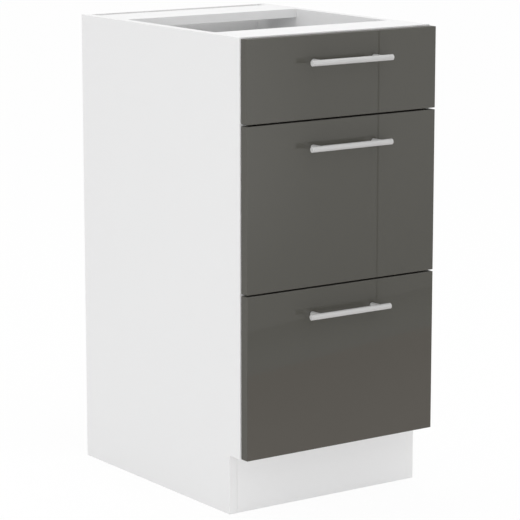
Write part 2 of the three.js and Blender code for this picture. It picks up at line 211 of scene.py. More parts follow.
class ShaderTree:
    """The nodes of one material or world."""

    def __init__(self, owner: Union[bpy.types.Material, bpy.types.World]) -> None:
        """Empties the owner's node tree.

        Args:
            owner: the material or world to paint.
        """
        owner.use_nodes = True
        self.nodes = owner.node_tree.nodes
        self.links = owner.node_tree.links
        self.nodes.clear()

    def node(self, kind: str, inputs: Optional[Inputs] = None, **settings: Any) -> bpy.types.Node:
        """Adds a node of any kind.

        Args:
            kind: the node's type.
            inputs: values or links by socket name, identifier or place.
            settings: its properties, set before its sockets.

        Returns:
            The node.
        """
        made = self.nodes.new(kind)
        for name, value in settings.items():
            setattr(made, name, value)
        for key, value in (inputs or {}).items():
            socket = self._input(made, key)
            source = value.socket if isinstance(value, Signal) else value
            if isinstance(source, bpy.types.NodeSocket):
                self.links.new(source, socket)
            else:
                socket.default_value = source
        return made

    @staticmethod
    def _input(node: bpy.types.Node, key: Union[str, int]) -> bpy.types.NodeSocket:
        """Finds an input by its identifier, name or place.

        Args:
            node: the node to look at.
            key: what names the socket.

        Returns:
            The socket.
        """
        if isinstance(key, int):
            return node.inputs[key]
        found = [socket for socket in node.inputs if socket.identifier == key]
        return found[0] if found else node.inputs[key]

    def place(self) -> bpy.types.NodeSocket:
        """Where the surface point is, in the piece's own coordinates."""
        return self.node("ShaderNodeTexCoord").outputs["Object"]

    def part_of(self, vector: bpy.types.NodeSocket, axis: Axis) -> Signal:
        """One component of a vector.

        Args:
            vector: the vector's socket.
            axis: which component.

        Returns:
            The component.
        """
        node = self.node("ShaderNodeSeparateXYZ", {"Vector": vector})
        return Signal(self, node.outputs[axis.value])

    def along(self, vector: bpy.types.NodeSocket, way: Sequence[float]) -> Signal:
        """How far a vector reaches along a direction.

        Args:
            vector: the vector's socket.
            way: the direction.

        Returns:
            The reach.
        """
        inputs = {0: vector, 1: tuple(way)}
        node = self.node("ShaderNodeVectorMath", inputs, operation="DOT_PRODUCT")
        return Signal(self, node.outputs["Value"])

    def facing(self, axis: Axis) -> Signal:
        """How far the surface faces along an axis of the piece, from -1 to 1."""
        return self.part_of(self.node("ShaderNodeTexCoord").outputs["Normal"], axis)

    def ray(self, kind: str) -> Signal:
        """1 on a light path of the named kind, and 0 on any other."""
        return Signal(self, self.node("ShaderNodeLightPath").outputs[kind])

    def seen_plainly(self, camera: float) -> Signal:
        """1 for what the eye, gloss and glass see, and 0 for light on the object.

        Args:
            camera: how much of it the camera takes.

        Returns:
            The share.
        """
        eye = camera * self.ray("Is Camera Ray")
        return eye.larger(self.ray("Is Glossy Ray")).larger(self.ray("Is Transmission Ray"))

    def stretched(self, scale: Scale) -> bpy.types.NodeSocket:
        """The surface point with its axes scaled.

        Args:
            scale: cycles in a metre, one number or one for each axis.

        Returns:
            The scaled point.
        """
        each = scale if isinstance(scale, tuple) else (scale, scale, scale)
        inputs = {"Vector": self.place(), "Scale": each}
        return self.node("ShaderNodeMapping", inputs).outputs["Vector"]

    def noise(self, scale: Scale, detail: float = 2, rough: float = 0.5) -> Signal:
        """Smooth noise about 0.5.

        Args:
            scale: cycles in a metre, one number or one for each axis.
            detail: octaves of finer noise.
            rough: how strong the finer octaves are.

        Returns:
            The noise, from 0 to 1.
        """
        inputs = {"Vector": self.stretched(scale), "Scale": 1.0, "Detail": detail, "Roughness": rough}
        return Signal(self, self.node("ShaderNodeTexNoise", inputs).outputs["Fac"])

    def cells(self, scale: Scale) -> Signal:
        """Flat cells of random values.

        Args:
            scale: cells in a metre, one number or one for each axis.

        Returns:
            A value from 0 to 1 that is the same over a cell.
        """
        inputs = {"Vector": self.stretched(scale), "Scale": 1.0}
        node = self.node("ShaderNodeTexVoronoi", inputs, feature="F1")
        grey = self.node("ShaderNodeSeparateColor", {"Color": node.outputs["Color"]})
        return Signal(self, grey.outputs[0])

    def blend(self, factor: Signal, low: Feed, high: Feed) -> bpy.types.NodeSocket:
        """Mixes two colours.

        Args:
            factor: 0 for the low colour, 1 for the high one.
            low: a colour or its socket.
            high: a colour or its socket.

        Returns:
            The mixed colour.
        """
        inputs = {"Factor_Float": factor, "A_Color": self._rgba(low), "B_Color": self._rgba(high)}
        node = self.node("ShaderNodeMix", inputs, data_type="RGBA", clamp_factor=True)
        return next(out for out in node.outputs if out.identifier == "Result_Color")

    @staticmethod
    def _rgba(colour: Feed) -> Feed:
        """Gives a plain colour its alpha, and passes a socket on."""
        return (*colour, 1.0) if isinstance(colour, tuple) else colour

    def clouded(self, factor: Signal, colour: Colour, darkest: float) -> bpy.types.NodeSocket:
        """A colour that is darker where a factor is low.

        Args:
            factor: 1 for the plain colour, 0 for its darkest shade.
            colour: the plain colour.
            darkest: how much of it the darkest shade keeps.

        Returns:
            The clouded colour.
        """
        return self.blend(factor, tuple(darkest * part for part in colour), colour)

    def bump(self, height: Signal, distance: float) -> bpy.types.NodeSocket:
        """A normal that follows a height.

        Args:
            height: the height, from 0 to 1.
            distance: how far 1 stands above 0, in metres.

        Returns:
            The normal.
        """
        inputs = {"Strength": 1.0, "Distance": distance, "Height": height}
        return self.node("ShaderNodeBump", inputs).outputs["Normal"]

    def principled(
        self, colour: Feed, rough: Signal, normal: Feed, others: Optional[Inputs] = None
    ) -> bpy.types.NodeSocket:
        """A principled shader.

        Args:
            colour: its base colour.
            rough: its roughness.
            normal: its normal.
            others: its other sockets.

        Returns:
            The shader.
        """
        inputs = {"Base Color": colour, "Roughness": rough, "Normal": normal, **(others or {})}
        return self.node("ShaderNodeBsdfPrincipled", inputs).outputs[0]

    def glow(self, colour: Feed, strength: Feed) -> bpy.types.NodeSocket:
        """A surface that gives light of a colour, however it is lit."""
        inputs = {"Color": self._rgba(colour), "Strength": strength}
        return self.node("ShaderNodeEmission", inputs).outputs[0]

    def mixed(
        self, share: Signal, first: bpy.types.NodeSocket, second: bpy.types.NodeSocket
    ) -> bpy.types.NodeSocket:
        """Mixes two shaders.

        Args:
            share: 0 where the first shows, 1 where the second does.
            first: a shader.
            second: a shader.

        Returns:
            The mixed shader.
        """
        return self.node("ShaderNodeMixShader", {0: share, 1: first, 2: second}).outputs[0]

    def show(self, shader: bpy.types.NodeSocket, kind: str = "ShaderNodeOutputMaterial") -> None:
        """Ends the tree in a shader."""
        self.node(kind, {"Surface": shader})


# ------------------------------------------------------------------ finishes


@dataclass(frozen=True)
class Finish:
    """What all finishes share: a name, a slot of the record and the way to a material."""

    name: str
    slot: Optional[Slot]

    def material(self) -> bpy.types.Material:
        """Makes the finish's material once, and finds it again later.

        Returns:
            The material.
        """
        found = bpy.data.materials.get(self.name)
        if found is not None:
            return found
        made = bpy.data.materials.new(self.name)
        self.paint(ShaderTree(made))
        return made

    def paint(self, tree: ShaderTree) -> None:
        """Builds the finish's nodes in an empty tree."""
        raise NotImplementedError


@dataclass(frozen=True)
class LaminatedBoard(Finish):
    """White laminate with a pearl grain, and edging tape round the narrow faces of a board."""

    thickness: Axis
    middle: float
    half: float
    colour: Colour = (0.835, 0.835, 0.837)
    tape_colour: Colour = (0.819, 0.819, 0.820)
    glue_colour: Colour = (0.66, 0.655, 0.645)
    laminate: float = 0.5 * MM
    glue_line: float = 0.18 * MM
    roughness: float = 0.46
    pearl: float = 0.012 * MM

    @classmethod
    def of(cls, node: str, thickness: Axis) -> "LaminatedBoard":
        """The finish of a packed board.

        Args:
            node: the board's name.
            thickness: the axis along which the board is thin.

        Returns:
            The finish, with the board's middle and half thickness.
        """
        low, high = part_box(node)
        place = thickness.value
        middle = (low[place] + high[place]) / 2
        half = (high[place] - low[place]) / 2
        return cls("laminate_" + node, Slot.LAMINATE, thickness, middle, half)

    def paint(self, tree: ShaderTree) -> None:
        """Broad faces, tape, the glue line between them, and the pearl grain.

        Args:
            tree: the empty tree.
        """
        narrow = abs(tree.facing(self.thickness)).rise(0.6, 0.4)
        across = tree.part_of(tree.place(), self.thickness)
        depth = self.half - abs(across - self.middle)
        seam = narrow * depth.rise(self.laminate + self.glue_line, self.laminate)
        cloud = tree.noise(3.0, detail=3)
        fibre = tree.noise(260.0)
        broad = tree.clouded(0.6 * cloud + 0.4 * fibre, self.colour, 0.98)
        taped = tree.blend(narrow, broad, self.tape_colour)
        colour = tree.blend(0.2 * seam, taped, self.glue_colour)
        grain = tree.noise(1400.0)
        swell = tree.noise(300.0, detail=1)
        height = (0.65 * grain + 0.35 * swell) * (1 - 0.7 * narrow)
        rough = self.roughness + 0.08 * (cloud - 0.5) - 0.08 * narrow
        tree.show(tree.principled(colour, rough, tree.bump(height, self.pearl), {"IOR": 1.48}))


@dataclass(frozen=True)
class Hardboard(Finish):
    """Thin hardboard: lacquered white towards the drawers, brown fibre behind, grey edges."""

    lacquer: Colour = (0.93, 0.93, 0.927)
    fibre: Colour = (0.27, 0.165, 0.09)
    dark_fibre: Colour = (0.13, 0.075, 0.04)
    edge: Colour = (0.50, 0.49, 0.475)
    roughness: float = 0.78
    screen_mark: float = 0.05 * MM

    def paint(self, tree: ShaderTree) -> None:
        """Lacquer on the front face, felted fibre on the back, and grey edges between them.

        Args:
            tree: the empty tree.
        """
        lacquered = tree.facing(Axis.Y).rise(-0.4, -0.6)
        felt = tree.noise(420.0, detail=5, rough=0.7)
        flock = tree.noise((45.0, 45.0, 90.0), detail=4, rough=0.65)
        screen = tree.cells((560.0, 1.0, 560.0))
        fleck = 0.62 * felt + 0.23 * flock + 0.15 * screen
        bare = tree.blend(fleck.rise(0.30, 0.70), self.dark_fibre, self.fibre)
        white = tree.clouded(tree.noise(4.0), self.lacquer, 0.97)
        behind = tree.facing(Axis.Y).rise(0.4, 0.6)
        colour = tree.blend(behind, tree.blend(lacquered, self.edge, white), bare)
        height = (0.5 * felt + 0.5 * screen) * (1 - 0.85 * lacquered)
        rough = self.roughness - 0.3 * lacquered
        tree.show(tree.principled(colour, rough, tree.bump(height, self.screen_mark), {"IOR": 1.46}))


@dataclass(frozen=True)
class GlossFoil(Finish):
    """Grey gloss foil on a board with satin edge bands and a white laminated back."""

    colour: Colour = (0.0855, 0.0830, 0.0724)
    band_colour: Colour = (0.112, 0.1095, 0.0985)
    back_colour: Colour = (0.82, 0.82, 0.822)
    roughness: float = 0.01
    peel: float = 0.0004 * MM
    band_roughness: float = 0.48
    band_grain: float = 0.008 * MM

    def paint(self, tree: ShaderTree) -> None:
        """Deep gloss with a faint orange peel and wiped smudges, bands, and the white back.

        Args:
            tree: the empty tree.
        """
        gloss = tree.facing(Axis.Y).rise(-0.55, -0.8)
        back = tree.facing(Axis.Y).rise(0.8, 0.95)
        wiped = tree.noise((9.0, 9.0, 3.0), detail=4, rough=0.6).rise(0.52, 0.8)
        grain = tree.noise(1400.0)
        matt = tree.principled(
            tree.blend(back, tree.clouded(grain, self.band_colour, 0.96), self.back_colour),
            self.band_roughness + 0.06 * (grain - 0.5),
            tree.bump(grain, self.band_grain),
            {"Specular IOR Level": 0.05},
        )
        deep = tree.principled(
            tree.clouded(tree.noise(2.2), self.colour, 0.97),
            self.roughness + 0.012 * wiped,
            tree.bump(tree.noise(110.0, detail=1), self.peel),
            {"IOR": 1.5},
        )
        tree.show(tree.mixed(gloss, matt, deep))


@dataclass(frozen=True)
class BrushedNickel(Finish):
    """Satin nickel under a clear matt lacquer, brushed along X, with painted light: the faces that look
    along X are painted paler.
    """

    colour: Colour = (0.555, 0.555, 0.55)
    # painted light: a paler colour for the bar ends and post flanks, which face along X
    lit_end_colour: Colour = (0.80, 0.80, 0.795)
    roughness: float = 0.40
    lustre: float = 0.12
    scratch: float = 0.002 * MM

    def paint(self, tree: ShaderTree) -> None:
        """Long brush marks in the roughness and the bump, a slight cloud, and painted light on the ends.

        Args:
            tree: the empty tree.
        """
        brushed = tree.noise((40.0, 5200.0, 5200.0), detail=3, rough=0.6)
        cloud = tree.noise((30.0, 60.0, 60.0))
        plated = tree.clouded(0.6 * brushed + 0.4 * cloud, self.colour, 0.94)
        # painted light: faces along X (the bar ends, the post flanks) take the paler colour
        ends = abs(tree.facing(Axis.X)).rise(0.55, 0.9)
        colour = tree.blend(ends, plated, self.lit_end_colour)
        rough = self.roughness + 0.1 * (brushed - 0.5) + 0.06 * (cloud - 0.5)
        normal = tree.bump(brushed, self.scratch)
        tree.show(tree.principled(colour, rough, normal, {"Metallic": self.lustre}))


@dataclass(frozen=True)
class PowderCoat(Finish):
    """Pale grey powder coat on steel, with its orange peel."""

    colour: Colour = (0.60, 0.61, 0.62)
    roughness: float = 0.38
    peel: float = 0.012 * MM

    def paint(self, tree: ShaderTree) -> None:
        """Fine peel, a slight speckle, and lanes that the rollers have polished.

        Args:
            tree: the empty tree.
        """
        peel = tree.noise(620.0)
        speck = tree.noise(3000.0, detail=1).rise(0.62, 0.72)
        lane = tree.noise((500.0, 2.0, 500.0)).rise(0.5, 0.75)
        colour = tree.clouded(1 - 0.5 * speck - 0.12 * lane, self.colour, 0.93)
        rough = self.roughness + 0.08 * (peel - 0.5) - 0.03 * lane
        tree.show(tree.principled(colour, rough, tree.bump(peel, self.peel), {"IOR": 1.5}))


@dataclass(frozen=True)
class ZincPlate(Finish):
    """Zinc-plated steel: faint spangle, and drawing marks along the rolled strip."""

    colour: Colour = (0.60, 0.61, 0.63)
    roughness: float = 0.34
    mark: float = 0.004 * MM

    def paint(self, tree: ShaderTree) -> None:
        """Spangle cells, rolling marks and a dull bloom.

        Args:
            tree: the empty tree.
        """
        spangle = tree.cells((260.0, 140.0, 260.0))
        rolled = tree.noise((2200.0, 14.0, 2200.0), detail=3, rough=0.6)
        bloom = tree.noise((25.0, 18.0, 25.0), detail=3)
        colour = tree.clouded(0.45 * spangle + 0.25 * rolled + 0.3 * bloom, self.colour, 0.78)
        rough = self.roughness + 0.1 * (spangle - 0.5) + 0.12 * (rolled - 0.5) + 0.1 * (bloom - 0.5)
        tree.show(tree.principled(colour, rough, tree.bump(rolled, self.mark), {"Metallic": 1.0}))


@dataclass(frozen=True)
class MouldedNylon(Finish):
    """Natural nylon: milky, slightly waxy, with a worn grey bloom on the tread."""

    colour: Colour = (0.74, 0.725, 0.66)
    worn: Colour = (0.55, 0.54, 0.51)
    roughness: float = 0.42
    grain: float = 0.01 * MM
    milkiness: float = 0.15
    milk_colour: Colour = (1.0, 0.9, 0.7)
    milk_depth: float = 1.5 * MM

    def paint(self, tree: ShaderTree) -> None:
        """Milky clouds, fine moulding grain and the smudges on the tread.

        Args:
            tree: the empty tree.
        """
        cloud = tree.noise(160.0, detail=3)
        tread = 1 - abs(tree.facing(Axis.X)).rise(0.2, 0.6)
        smudge = tread * tree.noise((90.0, 400.0, 400.0), detail=3).rise(0.45, 0.75)
        milk = {
            "IOR": 1.53,
            "Subsurface Weight": self.milkiness,
            "Subsurface Radius": self.milk_colour,
            "Subsurface Scale": self.milk_depth,
        }
        colour = tree.blend(0.6 * smudge, tree.clouded(cloud, self.colour, 0.95), self.worn)
        rough = self.roughness + 0.1 * (cloud - 0.5)
        tree.show(tree.principled(colour, rough, tree.bump(tree.noise(1800.0), self.grain), milk))


@dataclass(frozen=True)
class ClearPad(Finish):
    """Soft milky plastic of the pads that the fronts close on."""

    colour: Colour = (0.66, 0.66, 0.64)
    roughness: float = 0.3
    dimple: float = 0.02 * MM

    def paint(self, tree: ShaderTree) -> None:
        """A cloudy surface with a slight dimple.

        Args:
            tree: the empty tree.
        """
        cloud = tree.noise(500.0)
        colour = tree.clouded(cloud, self.colour, 0.9)
        rough = self.roughness + 0.1 * cloud
        tree.show(tree.principled(colour, rough, tree.bump(cloud, self.dimple), {"IOR": 1.46}))


FOIL = GlossFoil("gloss_foil", Slot.GLOSS)
NICKEL = BrushedNickel("brushed_nickel", Slot.NICKEL)
COAT = PowderCoat("powder_coat", Slot.COATED)
ZINC = ZincPlate("zinc_plate", Slot.ZINC)
NYLON = MouldedNylon("moulded_nylon", Slot.NYLON)
BACKING = Hardboard("hardboard_back", Slot.HARDBOARD)
PAD = ClearPad("clear_pad", None)


# ------------------------------------------------------------------ mesh work


class Workpiece:
    """A mesh in the making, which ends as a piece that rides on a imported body."""

    def __init__(self) -> None:
        """Starts with nothing on the bench."""
        self.bm = bmesh.new()

    @classmethod
    def copied(cls, node: str) -> "Workpiece":
        """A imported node's shape, with its loose triangles joined.

        Args:
            node: the node's name.

        Returns:
            The joined copy.
        """
        piece = cls()
        piece.bm.from_mesh(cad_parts[node].data)
        bmesh.ops.remove_doubles(piece.bm, verts=piece.bm.verts[:], dist=0.002 * MM)
        return piece

    def block(self, low: Vector, high: Vector, ease: float, steps: int) -> None:
        """Adds a box with rounded edges.

        Args:
            low: its lowest corner.
            high: its highest corner.
            ease: the radius of its edges.
            steps: facets across each rounded edge.
        """
        made = bmesh.ops.create_cube(self.bm, size=1.0)["verts"]
        bmesh.ops.scale(self.bm, verts=made, vec=high - low)
        bmesh.ops.translate(self.bm, verts=made, vec=(low + high) / 2)
        edges = list({edge for vert in made for edge in vert.link_edges})
        bmesh.ops.bevel(
            self.bm,
            geom=edges,
            offset=ease,
            offset_type="OFFSET",
            affect="EDGES",
            segments=steps,
            profile=0.5,
            material=-1,
        )

    def turned(self, profile: Outline, steps: int, pose: Matrix, hollow: bool = False) -> None:
        """Adds a body turned about its own Z axis.

        Args:
            profile: (radius, height) points, from pole to pole, or round a hollow section.
            steps: how many flats make the round.
            pose: where the body goes.
            hollow: whether the profile closes on itself, as on a ring.
        """
        lathe = bmesh.new()
        points = [lathe.verts.new((radius, 0.0, height)) for radius, height in profile]
        for start, end in zip(points, points[1:]):
            lathe.edges.new((start, end))
        if hollow:
            lathe.edges.new((points[-1], points[0]))
        bmesh.ops.spin(
            lathe,
            geom=lathe.verts[:] + lathe.edges[:],
            cent=(0.0, 0.0, 0.0),
            axis=(0.0, 0.0, 1.0),
            angle=2 * math.pi,
            steps=steps,
            use_merge=True,
        )
        bmesh.ops.remove_doubles(lathe, verts=lathe.verts[:], dist=0.001 * MM)
        self._take(lathe, pose)

    def cross_head(self, radius: float, height: float, pose: Matrix) -> None:
        """Adds a low round head with a cross recess, its underside at z = 0.

        Args:
            radius: the head's radius.
            height: its height at the middle.
            pose: where the head goes.
        """
        head = bmesh.new()
        arm, slot = 0.55 * radius, 0.14 * radius
        fall, sunk_by = 0.35 * height, 0.55 * height
        lines = (-radius, -arm, -slot, slot, arm, radius)
        fields = len(lines) - 1
        bmesh.ops.create_grid(head, x_segments=fields, y_segments=fields, size=fields / 2)
        for vert in head.verts:
            x, y = (lines[round(value + fields / 2)] for value in vert.co[:2])
            flat = Vector((x, y))
            if max(abs(x), abs(y)) > arm:
                flat = flat.normalized() * radius
            vert.co = (flat.x, flat.y, height - fall * (flat.length / radius) ** 2)
        rim = [edge for edge in head.edges if edge.is_boundary]
        cross = [
            face
            for face in head.faces
            if min(map(abs, face.calc_center_median()[:2])) < slot / 2
            and face.calc_center_median().length < math.hypot(arm, height)
        ]
        sunk = bmesh.ops.extrude_face_region(head, geom=cross)["geom"]
        bmesh.ops.delete(head, geom=cross, context="FACES_ONLY")
        floor = [item for item in sunk if isinstance(item, bmesh.types.BMVert)]
        bmesh.ops.translate(head, verts=floor, vec=(0.0, 0.0, -sunk_by))
        skirt = bmesh.ops.extrude_edge_only(head, edges=rim)["geom"]
        for vert in (item for item in skirt if isinstance(item, bmesh.types.BMVert)):
            vert.co.z = 0.0
        foot = [edge for edge in head.edges if edge.is_boundary]
        bmesh.ops.contextual_create(head, geom=foot)
        self._take(head, pose)

    def _take(self, other: bmesh.types.BMesh, pose: Matrix) -> None:
        """Puts another mesh in place and joins it to this one.

        Args:
            other: the mesh, which is freed.
            pose: where it goes.
        """
        bmesh.ops.recalc_face_normals(other, faces=other.faces[:])
        bmesh.ops.transform(other, matrix=pose, verts=other.verts[:])
        carrier = bpy.data.meshes.new("carrier")
        other.to_mesh(carrier)
        other.free()
        self.bm.from_mesh(carrier)
        bpy.data.meshes.remove(carrier)

    def shade(self, narrower_than: float, crease: float = 50.0) -> None:
        """Rounds the shading of narrow faces, and keeps broad ones flat.

        Args:
            narrower_than: faces less wide than this are shaded round.
            crease: edges that turn by more than this many degrees stay sharp.
        """
        for face in self.bm.faces:
            length = max(edge.calc_length() for edge in face.edges)
            face.smooth = face.calc_area() < narrower_than * length
        for edge in self.bm.edges:
            edge.smooth = edge.calc_face_angle(0.0) < math.radians(crease)

    def ride(
        self, name: str, body: str, finish: Finish, stands_for: Sequence[str] = ()
    ) -> bpy.types.Object:
        """Turns the mesh into a piece of the cabinet.

        Args:
            name: the piece's name.
            body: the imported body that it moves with.
            finish: its surface.
            stands_for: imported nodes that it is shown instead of.

        Returns:
            The piece's object.
        """
        mesh = bpy.data.meshes.new(name)
        self.bm.to_mesh(mesh)
        self.bm.free()
        mesh.materials.append(finish.material())
        piece = bpy.data.objects.new(name, mesh)
        bpy.context.scene.collection.objects.link(piece)
        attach(piece, body)
        if stands_for:
            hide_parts(*stands_for)
        LOG.info("%s: %d faces, rides on %s", name, len(mesh.polygons), body)
        return piece

    def ride_as_heads(self, name: str, body: str) -> None:
        """Turns a mesh of cross heads into a zinc-plated piece that rides on a body."""
        self.shade(narrower_than=1.0 * MM)
        self.ride(name, body, ZINC)


def pose_at(place: Sequence[float], direction: Vector) -> Matrix:
    """A pose with its own Z axis along a direction.

    Args:
        place: where the origin goes.
        direction: where its Z axis points.

    Returns:
        The pose.
    """
    turn = Vector((0.0, 0.0, 1.0)).rotation_difference(direction).to_matrix().to_4x4()
    return Matrix.Translation(Vector(place)) @ turn


def rounded_corner(
    radius: float, end: float, onwards: int, ease: float, turns: Sequence[int]
) -> Outline:
    """The outline of a turned body's corner, from its end face to its flank.

    Args:
        radius: the body's radius.
        end: the height of the end face.
        onwards: 1 where the body lies above its end face, -1 where it lies below.
        ease: the corner's radius.
        turns: how far round the corner each point is, in degrees.

    Returns:
        The corner's points.
    """
    angles = [math.radians(turn) for turn in turns]
    return [
        (radius - ease * (1 - math.sin(angle)), end + onwards * ease * (1 - math.cos(angle)))
        for angle in angles
    ]


def dress(node: str, finish: Finish) -> None:
    """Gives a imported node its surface, and leaves its shape alone.

    Args:
        node: the node's name.
        finish: its surface.
    """
    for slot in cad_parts[node].material_slots:
        slot.material = finish.material()
    LOG.info("%s: packed shape, %s", node, finish.name)


def bend(node: str, body: str, finish: Finish) -> None:
    """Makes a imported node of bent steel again, with its bends shaded round.

    Args:
        node: the node's name.
        body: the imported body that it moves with.
        finish: its surface.
    """
    steel = Workpiece.copied(node)
    steel.shade(narrower_than=2 * MM)
    steel.ride("bent_" + node, body, finish, [node])


# ------------------------------------------------------------------ carcass


@dataclass
class Carcass:
    """The boards of the cabinet's box, its thin back, and the cams that hold the boards."""

    body: str = "carcass"
    cam_radius: float = 7.4 * MM
    cam_height: float = 0.4 * MM
    cam_inset: float = 34 * MM
    pin_radius: float = 1.5 * MM
    pin_height: float = 0.35 * MM
    pin_inset: float = 4 * MM
    pin_drop: float = 20 * MM
    pin_pitch: float = 95 * MM
    pin_steps: int = 16

    def build(self) -> None:
        """Dresses the boards and adds the cams and the pins of the back."""
        for hand in Hand:
            self.board("side_panel_" + hand.value, Axis.X)
        for name in ("bottom_panel", "front_rail", "rear_rail"):
            self.board(name, Axis.Z)
        self.board("plinth_board", Axis.Y)
        dress("back_panel", BACKING)
        self.cams()
        self.pins()

    @staticmethod
    def board(node: str, thickness: Axis) -> None:
        """Dresses one board that is thin along an axis."""
        dress(node, LaminatedBoard.of(node, thickness))

    def cams(self) -> None:
        """Adds the cam discs under the rails and the bottom, and behind the plinth."""
        piece = Workpiece()
        for node in ("front_rail", "rear_rail", "bottom_panel"):
            low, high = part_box(node)
            inset = min(self.cam_inset, (high.y - low.y) / 4)
            for y in (low.y + inset, high.y - inset):
                for x in (low.x + self.cam_inset, high.x - self.cam_inset):
                    under = pose_at((x, y, low.z), -Axis.Z.direction)
                    piece.cross_head(self.cam_radius, self.cam_height, under)
        low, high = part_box("plinth_board")
        for x in (low.x + self.cam_inset, high.x - self.cam_inset):
            behind = pose_at((x, high.y, (low.z + high.z) / 2), Axis.Y.direction)
            piece.cross_head(self.cam_radius, self.cam_height, behind)
        piece.ride_as_heads("board_cams", self.body)

    def pins(self) -> None:
        """Adds the heads of the pins that hold the thin back, down its sides and along its foot."""
        low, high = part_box("back_panel")
        left, right = low.x + self.pin_inset, high.x - self.pin_inset
        bottom_low, bottom_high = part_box("bottom_panel")
        foot = (bottom_low.z + bottom_high.z) / 2
        rise = high.z - self.pin_drop - foot
        rows = round(rise / self.pin_pitch)
        places = [(x, foot + rise * row / rows) for x in (left, right) for row in range(rows + 1)]
        columns = round((right - left) / self.pin_pitch)
        places += [(left + (right - left) * column / columns, foot) for column in range(1, columns)]
        radius, height = self.pin_radius, self.pin_height
        profile = [(0.0, 0.0), (radius, 0.0), (radius, 0.4 * height), (0.7 * radius, height)]
        piece = Workpiece()
        for x, z in places:
            spot = pose_at((x, high.y, z), Axis.Y.direction)
            piece.turned([*profile, (0.0, height)], self.pin_steps, spot)
        piece.shade(narrower_than=2.0 * MM, crease=60.0)
        piece.ride("back_pins", self.body, ZINC)


# ------------------------------------------------------------------ runners


@dataclass
class Roller:
    """A nylon wheel, made again with a rounded tread and a recessed web."""

    node: str
    steps: int = 48
    bore: float = 3.0 * MM
    bore_ease: float = 0.3 * MM
    hub: float = 5.5 * MM
    rim: float = 2.0 * MM
    recess: float = 1.5 * MM
    round: float = 0.5 * MM
    ease: float = 0.2 * MM

    def build(self) -> None:
        """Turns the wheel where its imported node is."""
        low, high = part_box(self.node)
        half = (high.x - low.x) / 2
        radius = (high.z - low.z) / 2
        web = half - self.recess
        inside = radius - self.rim
        side = [
            (self.bore, half - self.bore_ease),
            (self.bore + self.bore_ease, half),
            (self.hub - self.ease, half),
            (self.hub, half - self.ease),
            (self.hub + self.round, web + self.ease),
            (self.hub + 2 * self.round, web),
            (inside - 2 * self.round, web),
            (inside - self.round, web + self.ease),
            (inside, half - self.ease / 2),
            (inside + self.ease, half),
            (radius - self.round, half),
            (radius - 0.3 * self.round, half - 0.3 * self.round),
            (radius, half - self.round),
        ]
        profile = [*side, *((r, -h) for r, h in reversed(side))]
        piece = Workpiece()
        piece.turned(profile, self.steps, pose_at((low + high) / 2, Axis.X.direction), hollow=True)
        piece.shade(narrower_than=6 * MM, crease=70.0)
        piece.ride("turned_" + self.node, self.node, NYLON, [self.node])


@dataclass
class RunnerPair:
    """The two steel runners of one drawer, with their screws, rivets and fixed rollers."""

    level: Level
    body: str = "carcass"
    screw_stations: tuple[float, ...] = (67 * MM, 227 * MM, 419 * MM)
    screw_level: float = 13 * MM
    steel: float = SHEET
    screw_radius: float = 3.9 * MM
    screw_height: float = 1.0 * MM
    pin_reach: float = 10.375 * MM
    rivet_radius: float = 4.3 * MM
    rivet_height: float = 0.6 * MM
    rivet_sink: float = 0.45 * MM
    rivet_steps: int = 28

    def build(self) -> None:
        """Builds both runners with what is fixed to them."""
        screws = Workpiece()
        rivets = Workpiece()
        for hand in Hand:
            bend(self.level.node("cabinet_runner", hand), self.body, ZINC)
            self.screw_heads(screws, hand)
            self.rivet_head(rivets, hand)
            Roller(self.level.node("cabinet_roller", hand)).build()
        screws.ride_as_heads(self.level.node("runner_screws"), self.body)
        rivets.shade(narrower_than=3.0 * MM)
        rivets.ride(self.level.node("roller_rivets"), self.body, ZINC)

    def screw_heads(self, piece: Workpiece, hand: Hand) -> None:
        """Adds the heads that hold a runner to its side panel.

        Args:
            piece: the screws' mesh.
            hand: the runner's side.
        """
        low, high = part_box(self.level.node("cabinet_runner", hand))
        face = hand.outer(low, high) + hand.inwards * self.steel
        for station in self.screw_stations:
            place = (face, low.y + station, low.z + self.screw_level)
            head = pose_at(place, hand.inwards * Axis.X.direction)
            piece.cross_head(self.screw_radius, self.screw_height, head)

    def rivet_head(self, piece: Workpiece, hand: Hand) -> None:
        """Adds the domed head of the fixed roller's pin.

        Args:
            piece: the rivets' mesh.
            hand: the runner's side.
        """
        wheel_low, wheel_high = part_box(self.level.node("cabinet_roller", hand))
        low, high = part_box(self.level.node("cabinet_runner", hand))
        centre = (wheel_low + wheel_high) / 2
        place = (hand.outer(low, high) + hand.inwards * self.pin_reach, centre.y, centre.z)
        radius, height = self.rivet_radius, self.rivet_height
        dome = [(0.0, -self.rivet_sink), (radius, -self.rivet_sink), (radius, 0.0)]
        for angle in map(math.radians, (20, 40, 60, 80)):
            dome.append((radius * math.cos(angle), height * math.sin(angle)))
        head = pose_at(place, hand.inwards * Axis.X.direction)
        piece.turned([*dome, (0.0, height)], self.rivet_steps, head)


# ------------------------------------------------------------------ drawers


